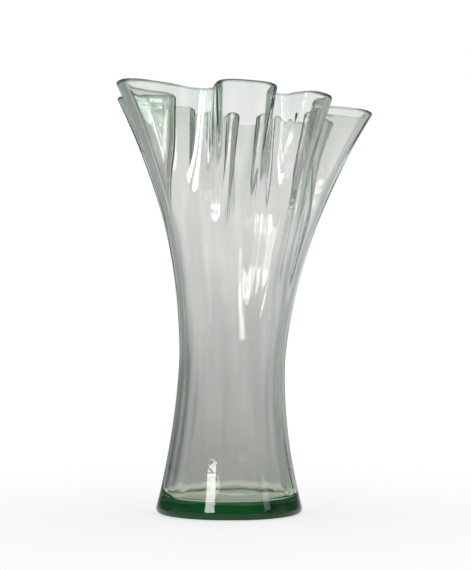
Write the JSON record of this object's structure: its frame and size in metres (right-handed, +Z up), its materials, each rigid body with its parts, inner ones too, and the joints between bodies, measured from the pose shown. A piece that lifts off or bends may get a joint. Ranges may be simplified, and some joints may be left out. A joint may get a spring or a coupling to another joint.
{
  "type": "fan vase",
  "caption": "Tall clear glass vase with a thick green foot, a slim waist and a ruffled mouth that opens like a fan, for standing cut flowers in water.",
  "frame": {"origin": "middle of the flat underside of the foot, on the table", "axes": "+Z up from the table, +X towards the side that the mouth leans to, -Y towards the viewer of the picture"},
  "size_m": [0.1767, 0.1579, 0.2861],
  "materials": {
    "glass": "smooth hand-blown clear recycled glass, green where it is thick"
  },
  "bodies": {
    "root": {"base_pad": "glass", "waist_wall": "glass", "fan_wall": "glass", "rim_bead": "glass"}
  },
  "joints": []
}
